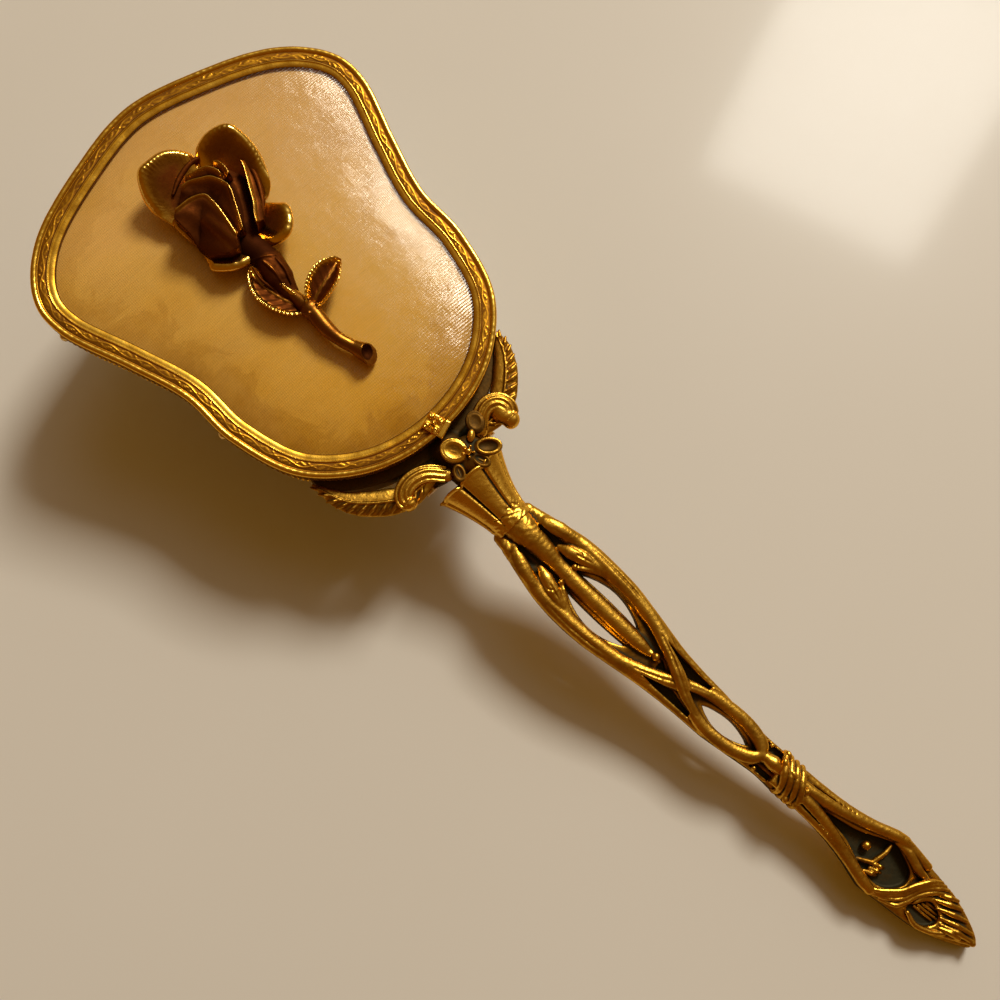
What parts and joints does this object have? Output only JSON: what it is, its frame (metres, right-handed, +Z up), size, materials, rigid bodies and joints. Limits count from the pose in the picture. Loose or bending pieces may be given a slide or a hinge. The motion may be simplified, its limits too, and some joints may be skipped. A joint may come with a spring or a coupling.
{
  "type": "vanity hairbrush",
  "caption": "Gilt vanity hairbrush: shield-shaped head with a silk panel and rose under a clear cover, bristle tufts below, openwork cast handle.",
  "frame": {"origin": "on the table surface, below the middle of the brush's bounding box, in the pose in which the brush rests bristles down", "axes": "+Y from the handle's tip towards the head, +Z up out of the panel, +X to the right seen from above with the head at the top"},
  "size_m": [0.0818, 0.2338, 0.048],
  "materials": {
    "gilt_brass": "worn gilt plating over brass, dark in the recesses",
    "antique_brass": "antiqued brass, dark brown patina with bright rubbed edges",
    "clear_cover": "clear, slightly yellowed, glossy sheet",
    "silk": "champagne silk with a fine rib and brown water stains at the edge",
    "wadding": "cotton wadding",
    "card": "plain card",
    "ivory_plastic": "moulded ivory plastic, satin",
    "bristle": "off-white nylon bristle",
    "steel": "plain wire and sheet steel"
  },
  "bodies": {
    "root": {"side_band": "gilt_brass", "bezel": "gilt_brass", "bezel_clip": "gilt_brass", "clear_cover": "clear_cover", "silk_panel": "silk", "wadding": "wadding", "backing_card": "card", "bristle_block": "ivory_plastic", "block_brads": "gilt_brass", "tuft_staples": "steel", "tuft_row_01": "bristle", "tuft_row_02": "bristle", "tuft_row_03": "bristle", "tuft_row_04": "bristle", "tuft_row_05": "bristle", "tuft_row_06": "bristle", "tuft_row_07": "bristle", "tuft_row_08": "bristle", "tuft_row_09": "bristle", "tuft_row_10": "bristle", "tuft_row_11": "bristle", "yoke_bracket": "antique_brass", "yoke_rivets": "gilt_brass", "leaf_spray_left": "antique_brass", "leaf_spray_right": "antique_brass", "scroll_left": "gilt_brass", "scroll_right": "gilt_brass", "blossom": "antique_brass", "neck_bell": "gilt_brass", "handle_stud": "steel", "handle_casting": "gilt_brass", "handle_knot": "gilt_brass", "handle_finial": "gilt_brass", "rose_outer_petals": "antique_brass", "rose_inner_petals": "antique_brass", "rose_bud": "antique_brass", "rose_calyx": "antique_brass", "rose_stem": "antique_brass", "rose_leaf_left": "antique_brass", "rose_leaf_right": "antique_brass", "rose_pins": "steel", "rose_push_nuts": "steel"}
  },
  "joints": []
}
